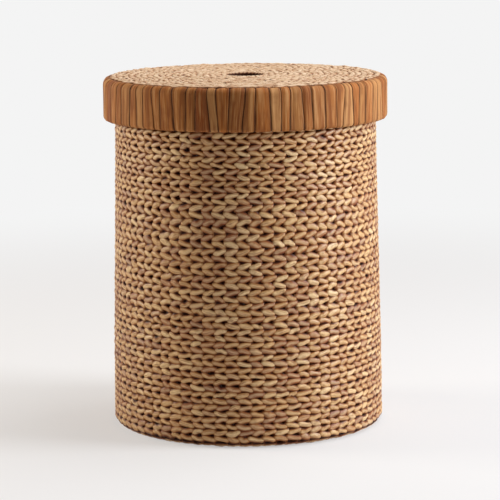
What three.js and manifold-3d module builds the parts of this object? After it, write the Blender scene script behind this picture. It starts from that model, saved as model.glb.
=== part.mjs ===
// A round laundry hamper: strands twined over a welded wire cage, closed by a cap lid
// whose edge is wrapped in flat leaf strips and whose top has a finger hole.
// Millimetres, +Z up. The origin is at the middle of the base, on the floor.

import * as THREE from 'three';
import { mergeVertices } from 'three/addons/utils/BufferGeometryUtils.js';
import Module from 'manifold-3d';

const wasm = await Module();
wasm.setup();

// Overall sizes. The lid comes to 453 across: the rim, a running gap and the wrapped edge.
const OVERALL_HEIGHT = 560;
const RIM_DIAMETER = 418;
const LID_CLEARANCE = 3.3;
const BAND_DEPTH = 67;

// Basket wall: an S-curved flare from the rim down to a rounded foot that turns under
const FOOT_FLARE = 9;
const FOOT_ROUNDING = 14;
const FOOT_FLANGE_WIDTH = 24.5;
const FOOT_FLANGE_THICKNESS = 7;
const WALL_THICKNESS = 12;
const BASE_THICKNESS = 10;

// Border that closes the top of the wall over the rim hoop
const BORDER_HEIGHT = 12;
const BORDER_CROWN = 3.2;
const BORDER_PROUD = 0.8;
const BORDER_ROUNDING = 4;

// Wires of the two frames
const STAKE_COUNT = 72;
const STAKE_WIRE = 3;
const FOOT_HOOP_WIRE = 4.5;
const FOOT_HOOP_HEIGHT = 12.5;
const RIM_HOOP_WIRE = 5;
const BASE_HOOP_WIRE = 5;
const SPOKE_WIRE = 3;
const SPOKE_COUNT = 12;
const BASE_HUB_DIAMETER = 40;
const LID_HOOP_WIRE = 6;
const POST_WIRE = 4;
const POST_COUNT = 12;

// Lid: a woven disc inside a channel of wrapped strips
const LID_WEAVE_THICKNESS = 13;
const LID_WEAVE_PROUD = 2;
const BAND_SKIN = 5;
const FOLD_THICKNESS = 4.5;
const TOP_FOLD_WIDTH = 13.2;
const BOTTOM_FOLD_WIDTH = 13.2;
const BAND_TOP_ROUNDING = 3.5;
const BAND_BOTTOM_ROUNDING = 2.2;

// Strips wrapped round the lid's edge. Two waves of widths, whose steps are in radians a
// strip, keep any two neighbours from being equally wide.
const STRIP_COUNT = 76;
const STRIP_GROOVE = 1.4;
const STRIP_SHOULDER = 0.16;
const STRIP_WIDTH_SWING = 0.24;
const STRIP_SWING_STEP = 2.4;
const STRIP_WIDTH_RIPPLE = 0.14;
const STRIP_RIPPLE_STEP = 5.3;
const STRIP_RIPPLE_START = 1;

// Finger hole and the binding round it
const FINGER_HOLE_DIAMETER = 56;
const HOLE_BINDING_SKIN = 3.6;
const HOLE_BINDING_WIDTH = 10.2;
const HOLE_BINDING_DROP = 2;
const HOLE_BINDING_ROUNDING = 1.2;

// Gap between pieces that touch
const FIT = 0.3;

// Facets
const WALL_FACETS = STAKE_COUNT;
const RING_FACETS = 4 * SPOKE_COUNT;
const HUB_FACETS = 2 * SPOKE_COUNT;
const HOOP_SIDES = 6;
const ROD_SIDES = 4;
const OUTER_WALL_STEPS = 5;
const INNER_WALL_STEPS = 3;
const FOOT_ARC_STEPS = 3;
const BORDER_ARC_STEPS = 2;
const MERGE_DISTANCE = 1e-4;

// Heights and radii that follow from the sizes above
const lidTop = OVERALL_HEIGHT;
const lidUnderside = lidTop - LID_WEAVE_THICKNESS;
const rimTop = lidUnderside - FIT;
const rimRadius = RIM_DIAMETER / 2;
const footRadius = rimRadius + FOOT_FLARE;
const borderUnderside = rimTop - BORDER_HEIGHT;
const wallTop = borderUnderside - FIT;
const rimHoopHeight = rimTop - BORDER_CROWN - FIT - RIM_HOOP_WIRE / 2;
const rimHoopRadius = rimRadius - WALL_THICKNESS / 2;
const footHoopRadius = footRadius - WALL_THICKNESS / 2;
const stakeTop = rimHoopHeight - RIM_HOOP_WIRE / 2 - FIT;
const baseUnderside = FOOT_FLANGE_THICKNESS + FIT;
const baseTop = baseUnderside + BASE_THICKNESS;
const baseSpokeHeight = baseUnderside + BASE_THICKNESS / 2;
const baseHoopRadius = wallRadius(baseTop) - WALL_THICKNESS - 2 * FIT - BASE_HOOP_WIRE / 2;
const baseWeaveRadius = baseHoopRadius - BASE_HOOP_WIRE / 2 - FIT;

// The lid is modelled from its underside: height 0 is where it rests on the border.
const bandTop = LID_WEAVE_THICKNESS - LID_WEAVE_PROUD;
const bandBottom = bandTop - BAND_DEPTH;
const bandRadius = rimRadius + BORDER_PROUD + LID_CLEARANCE + BOTTOM_FOLD_WIDTH;
const bandSkinRadius = bandRadius - BAND_SKIN;
const lidHoopRadius = bandSkinRadius - FIT - LID_HOOP_WIRE / 2;
const topHoopHeight = bandTop - FOLD_THICKNESS - FIT - LID_HOOP_WIRE / 2;
const skirtHoopHeight = bandBottom + FOLD_THICKNESS + FIT + LID_HOOP_WIRE / 2;
const lidWeaveRadius = bandRadius - TOP_FOLD_WIDTH - FIT;
const holeRadius = FINGER_HOLE_DIAMETER / 2;
const holeHubRadius = holeRadius + HOLE_BINDING_SKIN + FIT + SPOKE_WIRE / 2;
const lidWeaveInnerRadius = holeRadius + HOLE_BINDING_WIDTH + FIT;

const strandColours = {
  wall: 0xb98a5c,
  base: 0xa87c50,
  border: 0xad7c4c,
  lidTop: 0xc9a27a,
  band: 0xa9703f,
  hole: 0x9c6a3c,
};
const WIRE_COLOUR = 0x3b332c;

// Outer radius of the wall at a height: a smooth S from the foot to the rim.
function wallRadius(z) {
  return footRadius - (footRadius - rimRadius) * THREE.MathUtils.smoothstep(z, 0, rimTop);
}

// Radius of the straight stakes' centre line at a height.
function stakeRadius(z) {
  const share = (z - FOOT_HOOP_HEIGHT) / (stakeTop - FOOT_HOOP_HEIGHT);
  return THREE.MathUtils.lerp(footHoopRadius, rimHoopRadius, share);
}

// Points of a quarter arc in the radius and height plane.
function arc(centreR, centreZ, radius, from, to, steps) {
  const points = [];
  for (let step = 0; step <= steps; step += 1) {
    const angle = THREE.MathUtils.degToRad(THREE.MathUtils.lerp(from, to, step / steps));
    points.push([centreR + radius * Math.cos(angle), centreZ + radius * Math.sin(angle)]);
  }
  return points;
}

// Leaves only positions and whole triangles, facing outwards.
function tidy(geometry) {
  geometry.deleteAttribute('normal');
  geometry.deleteAttribute('uv');
  const merged = mergeVertices(geometry, MERGE_DISTANCE);
  const position = merged.getAttribute('position');
  const corners = merged.getIndex().array;
  const a = new THREE.Vector3();
  const b = new THREE.Vector3();
  const c = new THREE.Vector3();
  const kept = [];
  let volume = 0;
  for (let i = 0; i < corners.length; i += 3) {
    const [p, q, r] = [corners[i], corners[i + 1], corners[i + 2]];
    if (p !== q && q !== r && r !== p) {
      kept.push(p, q, r);
      a.fromBufferAttribute(position, p);
      b.fromBufferAttribute(position, q);
      c.fromBufferAttribute(position, r);
      volume += a.dot(b.cross(c));
    }
  }
  if (volume < 0) {
    kept.reverse();
  }
  merged.setIndex(kept);
  return merged;
}

// Solid of revolution about Z. The profile's points are [radius, height]; a profile that
// stays off the axis closes on itself as a ring.
function revolve(profile, facets) {
  const points = profile.map(([r, z]) => new THREE.Vector2(r, z));
  const onAxis = profile[0][0] === 0 && profile[profile.length - 1][0] === 0;
  if (!onAxis) {
    points.push(points[0].clone());
  }
  const geometry = new THREE.LatheGeometry(points, facets);
  geometry.rotateX(Math.PI / 2);
  return tidy(geometry);
}

// A wire bent into a hoop.
function hoop(radius, height, wire, facets) {
  const section = arc(radius, height, wire / 2, 0, 360, HOOP_SIDES).slice(0, HOOP_SIDES);
  return revolve(section, facets);
}

// A straight wire between two points, in a plane through the Z axis, with one of its flats
// square to that plane.
function rod(from, to, wire) {
  const along = new THREE.Vector3().subVectors(to, from);
  const radius = wire / 2;
  const geometry = new THREE.CylinderGeometry(radius, radius, along.length(), ROD_SIDES);
  geometry.rotateY(Math.PI / ROD_SIDES);
  geometry.translate(0, along.length() / 2, 0);
  const lengthways = along.clone().normalize();
  const across = new THREE.Vector3(-from.y, from.x, 0).normalize();
  const third = new THREE.Vector3().crossVectors(across, lengthways);
  const placed = new THREE.Matrix4().makeBasis(across, lengthways, third).setPosition(from);
  geometry.applyMatrix4(placed);
  return tidy(geometry);
}

// A point at a radius, an angle in turns and a height.
function polar(radius, turns, height) {
  const angle = turns * 2 * Math.PI;
  return new THREE.Vector3(radius * Math.cos(angle), radius * Math.sin(angle), height);
}

function solidOf(geometry) {
  return new wasm.Manifold(new wasm.Mesh({
    numProp: 3,
    vertProperties: new Float32Array(geometry.getAttribute('position').array),
    triVerts: new Uint32Array(geometry.getIndex().array),
  }));
}

function geometryOf(solid) {
  const mesh = solid.getMesh();
  const geometry = new THREE.BufferGeometry();
  geometry.setAttribute('position', new THREE.BufferAttribute(new Float32Array(mesh.vertProperties), 3));
  geometry.setIndex(Array.from(mesh.triVerts));
  return geometry;
}

// Welds geometries into one solid.
function weld(geometries) {
  return geometries.map(solidOf).reduce((whole, next) => whole.add(next));
}

function piece(name, geometry, colour, roughness, metalness = 0) {
  const material = new THREE.MeshStandardMaterial({ color: colour, roughness, metalness });
  const mesh = new THREE.Mesh(geometry, material);
  mesh.name = name;
  return mesh;
}

function wirePiece(name, geometry) {
  return piece(name, geometry, WIRE_COLOUR, 0.6, 0.7);
}

// Stakes welded to the foot hoop. They stand straight while the wall curves around them.
function wireCage() {
  const parts = [hoop(footHoopRadius, FOOT_HOOP_HEIGHT, FOOT_HOOP_WIRE, WALL_FACETS)];
  for (let i = 0; i < STAKE_COUNT; i += 1) {
    const turns = i / STAKE_COUNT;
    const foot = polar(footHoopRadius, turns, FOOT_HOOP_HEIGHT);
    const head = polar(rimHoopRadius, turns, stakeTop);
    parts.push(rod(foot, head, STAKE_WIRE));
  }
  return geometryOf(weld(parts));
}

// Wall of twined strands: an outer and an inner layer either side of the slot that the
// stakes stand in, joined at the foot, which turns under to carry the base.
function wallWeave() {
  const outside = [];
  for (let step = 1; step <= OUTER_WALL_STEPS; step += 1) {
    const z = THREE.MathUtils.lerp(FOOT_ROUNDING, wallTop, step / OUTER_WALL_STEPS);
    outside.push([wallRadius(z), z]);
  }
  const inside = [];
  for (let step = 0; step <= INNER_WALL_STEPS; step += 1) {
    const z = THREE.MathUtils.lerp(wallTop, baseTop, step / INNER_WALL_STEPS);
    inside.push([wallRadius(z) - WALL_THICKNESS, z]);
  }
  const slotFloor = FOOT_HOOP_HEIGHT - FOOT_HOOP_WIRE / 2 - FIT;
  const slotHalfFoot = FOOT_HOOP_WIRE / 2 + FIT;
  const slotHalfTop = STAKE_WIRE / 2 + FIT;
  const flangeInner = footRadius - FOOT_FLANGE_WIDTH;
  return revolve([
    [flangeInner, 0],
    ...arc(footRadius - FOOT_ROUNDING, FOOT_ROUNDING, FOOT_ROUNDING, -90, 0, FOOT_ARC_STEPS),
    ...outside,
    [stakeRadius(wallTop) + slotHalfTop, wallTop],
    [footHoopRadius + slotHalfFoot, slotFloor],
    [footHoopRadius - slotHalfFoot, slotFloor],
    [stakeRadius(wallTop) - slotHalfTop, wallTop],
    ...inside,
    [wallRadius(baseTop) - WALL_THICKNESS, FOOT_FLANGE_THICKNESS],
    [flangeInner, FOOT_FLANGE_THICKNESS],
  ], WALL_FACETS);
}

// Border wrapped over the rim hoop, open below where the hoop and the stakes' heads enter.
function rimBinding() {
  const outer = rimRadius + BORDER_PROUD;
  const inner = rimRadius - WALL_THICKNESS - BORDER_PROUD;
  const shoulder = rimTop - BORDER_ROUNDING;
  const grooveHalf = RIM_HOOP_WIRE / 2 + FIT;
  const grooveTop = rimHoopHeight + grooveHalf;
  return revolve([
    [outer, borderUnderside],
    ...arc(outer - BORDER_ROUNDING, shoulder, BORDER_ROUNDING, 0, 90, BORDER_ARC_STEPS),
    ...arc(inner + BORDER_ROUNDING, shoulder, BORDER_ROUNDING, 90, 180, BORDER_ARC_STEPS),
    [inner, borderUnderside],
    [rimHoopRadius - grooveHalf, borderUnderside],
    [rimHoopRadius - grooveHalf, grooveTop],
    [rimHoopRadius + grooveHalf, grooveTop],
    [rimHoopRadius + grooveHalf, borderUnderside],
  ], RING_FACETS);
}

// Spokes and the ring at their inner ends. Growth adds clearance round every wire.
function spokeWheel(hubRadius, hubWire, reach, height, growth) {
  const parts = [hoop(hubRadius, height, hubWire + 2 * growth, HUB_FACETS)];
  for (let i = 0; i < SPOKE_COUNT; i += 1) {
    const turns = i / SPOKE_COUNT;
    const inner = polar(hubRadius, turns, height);
    const outer = polar(reach, turns, height);
    parts.push(rod(inner, outer, SPOKE_WIRE + 2 * growth));
  }
  return weld(parts);
}

// Wheel of wire inside the base: hub, spokes and the hoop round the base's edge.
function baseWireWheel() {
  const edge = solidOf(hoop(baseHoopRadius, baseSpokeHeight, BASE_HOOP_WIRE, RING_FACETS));
  const reach = baseHoopRadius;
  const wheel = spokeWheel(BASE_HUB_DIAMETER / 2, SPOKE_WIRE, reach, baseSpokeHeight, 0);
  return geometryOf(wheel.add(edge));
}

// Woven base disc, with the hub and the spokes running through it.
function baseWeave() {
  const disc = revolve([
    [0, baseUnderside],
    [baseWeaveRadius, baseUnderside],
    [baseWeaveRadius, baseTop],
    [0, baseTop],
  ], RING_FACETS);
  const reach = baseWeaveRadius + BASE_HOOP_WIRE;
  const channels = spokeWheel(BASE_HUB_DIAMETER / 2, SPOKE_WIRE, reach, baseSpokeHeight, FIT);
  return geometryOf(solidOf(disc).subtract(channels));
}

// Hoop at the foot of the lid's edge with the posts that stand on it.
function lidSkirtFrame() {
  const parts = [hoop(lidHoopRadius, skirtHoopHeight, LID_HOOP_WIRE, RING_FACETS)];
  const postTop = topHoopHeight - LID_HOOP_WIRE / 2 - FIT;
  for (let i = 0; i < POST_COUNT; i += 1) {
    const turns = i / POST_COUNT;
    const foot = polar(lidHoopRadius, turns, skirtHoopHeight);
    const head = polar(lidHoopRadius, turns, postTop);
    parts.push(rod(foot, head, POST_WIRE));
  }
  return geometryOf(weld(parts));
}

// Wire ring round the finger hole, with spokes out to the top hoop.
function lidWireWheel() {
  const reach = lidHoopRadius - LID_HOOP_WIRE / 2 - FIT;
  return geometryOf(spokeWheel(holeHubRadius, SPOKE_WIRE, reach, topHoopHeight, 0));
}

// Woven disc of the lid, with the spokes running through it.
function lidTopWeave() {
  const disc = revolve([
    [lidWeaveInnerRadius, 0],
    [lidWeaveRadius, 0],
    [lidWeaveRadius, LID_WEAVE_THICKNESS],
    [lidWeaveInnerRadius, LID_WEAVE_THICKNESS],
  ], RING_FACETS);
  const reach = lidWeaveRadius + TOP_FOLD_WIDTH;
  const channels = spokeWheel(holeHubRadius, SPOKE_WIRE, reach, topHoopHeight, FIT);
  return geometryOf(solidOf(disc).subtract(channels));
}

// Binding wrapped round the finger hole, open outwards where the spokes come in.
function fingerHoleBinding() {
  const outer = holeRadius + HOLE_BINDING_WIDTH;
  const throat = holeRadius + HOLE_BINDING_SKIN;
  const ringHalf = SPOKE_WIRE / 2 + FIT;
  const bottom = -HOLE_BINDING_DROP;
  const rounding = HOLE_BINDING_ROUNDING;
  return revolve([
    [holeRadius + rounding, bottom],
    [outer, bottom],
    [outer, topHoopHeight - ringHalf],
    [throat, topHoopHeight - ringHalf],
    [throat, topHoopHeight + ringHalf],
    [outer, topHoopHeight + ringHalf],
    [outer, LID_WEAVE_THICKNESS],
    [holeRadius + rounding, LID_WEAVE_THICKNESS],
    [holeRadius, LID_WEAVE_THICKNESS - rounding],
    [holeRadius, bottom + rounding],
  ], HUB_FACETS);
}

// Angles, in turns, of the edges between the strips. No two neighbours are equally wide.
function stripEdges() {
  const widths = [];
  for (let i = 0; i < STRIP_COUNT; i += 1) {
    const swing = STRIP_WIDTH_SWING * Math.sin(STRIP_SWING_STEP * i);
    const ripple = STRIP_WIDTH_RIPPLE * Math.sin(STRIP_RIPPLE_STEP * i + STRIP_RIPPLE_START);
    widths.push(1 + swing + ripple);
  }
  const total = widths.reduce((sum, width) => sum + width, 0);
  const edges = [0];
  for (const width of widths) {
    edges.push(edges[edges.length - 1] + width / total);
  }
  return edges;
}

// Joins two rows of vertices that run the same way, though their counts may differ.
function zip(triangles, lower, upper) {
  let i = 0;
  let j = 0;
  while (i < lower.length - 1 || j < upper.length - 1) {
    const lowerShare = (i + 1) / (lower.length - 1);
    const upperShare = (j + 1) / (upper.length - 1);
    if (lowerShare <= upperShare) {
      triangles.push(lower[i], lower[i + 1], upper[j]);
      i += 1;
    } else {
      triangles.push(lower[i], upper[j + 1], upper[j]);
      j += 1;
    }
  }
}

// The part of a row of vertices that one strip covers, with the next strip's first vertex.
function stretch(row, strip) {
  const each = row.length / STRIP_COUNT;
  const part = row.slice(strip * each, (strip + 1) * each);
  part.push(row[((strip + 1) * each) % row.length]);
  return part;
}

// Strips wrapped round the lid's edge: each goes up the outside, folds over the top hoop
// and under the skirt hoop, and stands proud of the grooves between it and its neighbours.
function lidBandWrap() {
  const foldTop = bandTop - FOLD_THICKNESS;
  const foldBottom = bandBottom + FOLD_THICKNESS;
  const topFoldRadius = bandRadius - TOP_FOLD_WIDTH;
  const bottomFoldRadius = bandRadius - BOTTOM_FOLD_WIDTH;
  const shown = [
    { r: bottomFoldRadius, z: bandBottom, inR: 0, inZ: 1 },
    { r: bandRadius - BAND_BOTTOM_ROUNDING, z: bandBottom, inR: -0.5, inZ: 1 },
    { r: bandRadius, z: bandBottom + BAND_BOTTOM_ROUNDING, inR: -1, inZ: 0.5 },
    { r: bandRadius, z: bandTop - BAND_TOP_ROUNDING, inR: -1, inZ: -0.5 },
    { r: bandRadius - BAND_TOP_ROUNDING, z: bandTop, inR: -0.5, inZ: -1 },
    { r: topFoldRadius, z: bandTop, inR: 0, inZ: -1 },
  ];
  const hidden = [
    { r: topFoldRadius, z: foldTop },
    { r: bandSkinRadius, z: foldTop },
    { r: bandSkinRadius, z: foldBottom },
    { r: bottomFoldRadius, z: foldBottom },
  ];
  const edges = stripEdges();
  const positions = [];
  const vertex = (point, turns, depth) => {
    const r = point.r + depth * (point.inR ?? 0);
    const z = point.z + depth * (point.inZ ?? 0);
    positions.push(...polar(r, turns, z).toArray());
    return positions.length / 3 - 1;
  };
  const shownRows = shown.map((point) => {
    const row = [];
    for (let i = 0; i < STRIP_COUNT; i += 1) {
      const width = edges[i + 1] - edges[i];
      row.push(vertex(point, edges[i], STRIP_GROOVE));
      row.push(vertex(point, edges[i] + STRIP_SHOULDER * width, 0));
      row.push(vertex(point, edges[i + 1] - STRIP_SHOULDER * width, 0));
    }
    return row;
  });
  const hiddenRows = hidden.map((point) => {
    const row = [];
    for (let i = 0; i < STRIP_COUNT; i += 1) {
      row.push(vertex(point, edges[i], 0));
    }
    return row;
  });
  const rows = [...shownRows, ...hiddenRows];
  const triangles = [];
  for (let k = 0; k < rows.length; k += 1) {
    const here = rows[k];
    const next = rows[(k + 1) % rows.length];
    for (let i = 0; i < STRIP_COUNT; i += 1) {
      zip(triangles, stretch(here, i), stretch(next, i));
    }
  }
  const geometry = new THREE.BufferGeometry();
  geometry.setAttribute('position', new THREE.Float32BufferAttribute(positions, 3));
  geometry.setIndex(triangles);
  return tidy(geometry);
}

const basket = new THREE.Group();
basket.add(
  wirePiece('wire_cage', wireCage()),
  wirePiece('rim_hoop', hoop(rimHoopRadius, rimHoopHeight, RIM_HOOP_WIRE, RING_FACETS)),
  piece('wall_weave', wallWeave(), strandColours.wall, 0.75),
  piece('rim_binding', rimBinding(), strandColours.border, 0.7),
  wirePiece('base_wire_wheel', baseWireWheel()),
  piece('base_weave', baseWeave(), strandColours.base, 0.78),
);

const lid = new THREE.Group();
lid.position.z = lidUnderside;
lid.add(
  wirePiece('lid_top_hoop', hoop(lidHoopRadius, topHoopHeight, LID_HOOP_WIRE, RING_FACETS)),
  wirePiece('lid_skirt_frame', lidSkirtFrame()),
  wirePiece('lid_wire_wheel', lidWireWheel()),
  piece('lid_top_weave', lidTopWeave(), strandColours.lidTop, 0.75),
  piece('lid_band_wrap', lidBandWrap(), strandColours.band, 0.6),
  piece('finger_hole_binding', fingerHoleBinding(), strandColours.hole, 0.65),
);

const hamper = new THREE.Group();
hamper.add(basket, lid);

export default hamper;
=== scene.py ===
"""A round laundry hamper with a lift-off lid, both woven from twisted strands over wire frames.

Lengths are in millimetres until a mesh is made, and the Z axis points up.
"""

from __future__ import annotations

import logging
import math
from collections.abc import Iterable, Sequence
from dataclasses import dataclass
from enum import Enum
from itertools import cycle

import bpy
import numpy as np
from mathutils import Matrix, Vector

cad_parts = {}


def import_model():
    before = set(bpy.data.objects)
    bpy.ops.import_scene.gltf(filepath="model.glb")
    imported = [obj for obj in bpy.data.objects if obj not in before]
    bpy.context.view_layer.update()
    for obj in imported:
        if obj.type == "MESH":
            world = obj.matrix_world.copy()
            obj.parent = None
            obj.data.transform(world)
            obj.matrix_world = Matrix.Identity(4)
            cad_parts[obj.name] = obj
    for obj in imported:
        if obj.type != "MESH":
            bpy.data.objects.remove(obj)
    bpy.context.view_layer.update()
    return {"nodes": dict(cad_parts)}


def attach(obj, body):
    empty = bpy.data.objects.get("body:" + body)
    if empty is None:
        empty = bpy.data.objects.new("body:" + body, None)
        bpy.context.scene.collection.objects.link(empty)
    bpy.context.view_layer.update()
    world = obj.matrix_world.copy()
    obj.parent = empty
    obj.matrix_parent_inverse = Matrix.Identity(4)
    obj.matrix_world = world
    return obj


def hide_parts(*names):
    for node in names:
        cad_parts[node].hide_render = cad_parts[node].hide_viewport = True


LOG = logging.getLogger("hamper")
METRE = 0.001
CHART = "OFBake"
GRAIN = "grain"
LEAF = "leaf"

Array = np.ndarray
Material = bpy.types.Material
Socket = bpy.types.NodeSocket
Colour = tuple[float, float, float, float]
Triple = tuple[float, float, float]
Tone = tuple[int, int, int]
SMOOTH = {"interpolation_type": "SMOOTHSTEP"}


def shade(red: int, green: int, blue: int) -> Colour:
    """Turn a colour as a screen shows it into the linear values that a shader takes.

    Args:
        red: Red from 0 to 255.
        green: Green from 0 to 255.
        blue: Blue from 0 to 255.

    Returns:
        The linear colour, opaque.
    """
    values = [c / 255 for c in (red, green, blue)]
    linear = [v / 12.92 if v <= 0.04045 else ((v + 0.055) / 1.055) ** 2.4 for v in values]
    return (linear[0], linear[1], linear[2], 1.0)


def squarer(wave: Array, power: float) -> Array:
    """Raise a sine or cosine to a power below 1, which squares the shape that it draws."""
    return np.sign(wave) * np.abs(wave) ** power


def unit(vectors: Array) -> Array:
    """Scale each row to a length of 1."""
    return vectors / np.linalg.norm(vectors, axis=1, keepdims=True)


def heading(path: Array) -> Array:
    """Give the direction of a closed path at each of its points."""
    return unit(np.roll(path, -1, axis=0) - np.roll(path, 1, axis=0))


def turned(radius: Array | float, angle: Array, height: Array | float) -> Array:
    """Turn radii and heights round the upright axis, as points or as directions."""
    level = [radius * np.cos(angle), radius * np.sin(angle)]
    return np.stack([*level, np.broadcast_to(height, angle.shape)], -1)


def sideways(angle: Array) -> Array:
    """Give the level directions along a ring at these angles."""
    return np.stack([-np.sin(angle), np.cos(angle), np.zeros_like(angle)], -1)


def skin(path: Array, across: Array, out: Array, wide: Array, deep: Array) -> Array:
    """Lay a section of these widths and depths round every point of a path."""
    rings = path[:, None] + wide[..., None] * across[:, None]
    return rings + deep[..., None] * out[:, None]


def placed(name: str, data: bpy.types.ID) -> bpy.types.Object:
    """Make an object from its data and link it to the scene."""
    bpy.context.scene.collection.objects.link(made := bpy.data.objects.new(name, data))
    return made


class Lean(Enum):
    """Which way the leaves of a twined row slope as they go round."""

    RISING = 1.0
    FALLING = -1.0


class Body(Enum):
    """The two parts that move as one each."""

    BASKET = "basket"
    LID = "lid"


@dataclass(frozen=True)
class Role:
    """What a piece is in the frame: its body, its material slot and the node it stands for."""

    body: Body
    slot: str
    node: str


class Level:
    """A number in a shader, on which Python's operators add Math nodes."""

    def __init__(self, bench: Bench, socket: Socket) -> None:
        """Wrap an output socket of a bench's node tree."""
        self.bench = bench
        self.socket = socket

    def _math(self, operation: str, first: Level | float, second: Level | float) -> Level:
        """Add one Math node and wrap what it gives."""
        node = self.bench.add("ShaderNodeMath", {"operation": operation}, {0: first, 1: second})
        return Level(self.bench, node.outputs[0])

    def __add__(self, other: Level | float) -> Level:
        """Add a number."""
        return self._math("ADD", self, other)

    def __rsub__(self, other: float) -> Level:
        """Take this away from a number."""
        return self._math("SUBTRACT", other, self)

    def __mul__(self, other: Level | float) -> Level:
        """Multiply by a number."""
        return self._math("MULTIPLY", self, other)

    def __pow__(self, other: float) -> Level:
        """Raise to a power."""
        return self._math("POWER", self, other)

    __radd__ = __add__
    __rmul__ = __mul__

    def within(self, low: float, high: float) -> Level:
        """Give 0 at low, 1 at high and a smooth change between."""
        node = self.bench.add("ShaderNodeMapRange", SMOOTH, {0: self, 1: low, 2: high})
        return Level(self.bench, node.outputs[0])

    def over(self, cover: Cover) -> Level:
        """Give a cover's share where this number is within its reach."""
        return self.within(cover.start, cover.full) * cover.share


@dataclass(frozen=True)
class Cover:
    """How one colour lies over another: where it starts, where it is full and its share."""

    start: float
    full: float
    share: float


@dataclass(frozen=True)
class Noise:
    """Smooth noise: how dense it is along each axis, its detail and its roughness."""

    density: Triple
    detail: float
    rough: float = 0.5


class Bench:
    """The node tree of a material or the world, with one way to add a node."""

    def __init__(self, owner: Material | bpy.types.World) -> None:
        """Empty the owner's node tree.

        Args:
            owner: The material or world.
        """
        owner.use_nodes = True
        self.owner = owner
        self.tree = owner.node_tree
        self.tree.nodes.clear()

    def add(
        self, kind: str, settings: dict[str, object] | None = None,
        inputs: dict[int | str, object] | None = None,
    ) -> bpy.types.Node:
        """Add a node, set it up and feed its sockets.

        Args:
            kind: The node's type.
            settings: Its settings; a ramp's stops are pairs of place and colour.
            inputs: Values or links by socket number or name.

        Returns:
            The new node.
        """
        node = self.tree.nodes.new(kind)
        for key, value in (settings or {}).items():
            if key == "stops":
                self._set_stops(node.color_ramp, value)
            else:
                setattr(node, key, value)
        for key, value in (inputs or {}).items():
            if isinstance(value, Level):
                value = value.socket
            if isinstance(value, Socket):
                self.tree.links.new(value, node.inputs[key])
            else:
                node.inputs[key].default_value = value
        return node

    @staticmethod
    def _set_stops(ramp: bpy.types.ColorRamp, stops: Sequence[tuple[float, Colour]]) -> None:
        """Give a ramp these stops and no others.

        Args:
            ramp: The ramp.
            stops: Pairs of place and colour, two or more.
        """
        while len(ramp.elements) < len(stops):
            ramp.elements.new(0.5)
        for element, (place, colour) in zip(ramp.elements, stops, strict=True):
            element.position = place
            element.color = colour

    def kept(self, name: str) -> Socket:
        """Read a vector that the mesh keeps at its corners."""
        return self.add("ShaderNodeAttribute", {"attribute_name": name}).outputs["Vector"]

    def leaf(self) -> tuple[Level, Level]:
        """Read a leaf's tone, and how near a place is to a crossing or a seam, from 0 to 1."""
        node = self.add("ShaderNodeSeparateXYZ", None, {0: self.kept(LEAF)})
        return Level(self, node.outputs[0]), Level(self, node.outputs[1])

    def noise(self, place: Socket, kind: Noise) -> Level:
        """Read noise at a place.

        Args:
            place: The place.
            kind: Which noise.

        Returns:
            A number of about 0 to 1.
        """
        values = {0: place, 1: kind.density}
        dense = self.add("ShaderNodeVectorMath", {"operation": "MULTIPLY"}, values).outputs[0]
        values = {"Vector": dense, "Scale": 1.0, "Detail": kind.detail, "Roughness": kind.rough}
        return Level(self, self.add("ShaderNodeTexNoise", None, values).outputs[0])

    def ramp(self, level: Level, tones: Sequence[Tone]) -> Socket:
        """Turn a number from 0 to 1 into a colour along evenly spaced tones."""
        stops = [(i / (len(tones) - 1), shade(*tone)) for i, tone in enumerate(tones)]
        return self.add("ShaderNodeValToRGB", {"stops": stops}, {0: level}).outputs[0]

    def mix(self, share: Level | float, first: Socket | Colour, second: Socket | Colour) -> Socket:
        """Mix two colours, with all of the second where the share is 1."""
        values = {0: share, 6: first, 7: second}
        return self.add("ShaderNodeMix", {"data_type": "RGBA"}, values).outputs[2]

    def raised(self, height: Level, depth: float, strength: float) -> Socket:
        """Tilt the surface by a height, of which 1 is so many millimetres deep."""
        values = {"Strength": strength, "Distance": depth * METRE, "Height": height}
        return self.add("ShaderNodeBump", None, values).outputs[0]

    def looked_at(self) -> Level:
        """Give 1 to rays from the camera and to glossy reflections, and 0 to the others."""
        path = self.add("ShaderNodeLightPath").outputs
        return Level(self, path["Is Camera Ray"]) + Level(self, path["Is Glossy Ray"])

    def surface(self, shader: Socket) -> Material:
        """Send a shader to the material's surface and give the material."""
        self.add("ShaderNodeOutputMaterial", None, {0: shader})
        return self.owner

    def coated(self, values: dict[str, object]) -> Material:
        """Finish the material with one Principled shader, given its sockets by name."""
        return self.surface(self.add("ShaderNodeBsdfPrincipled", None, values).outputs[0])


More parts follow.
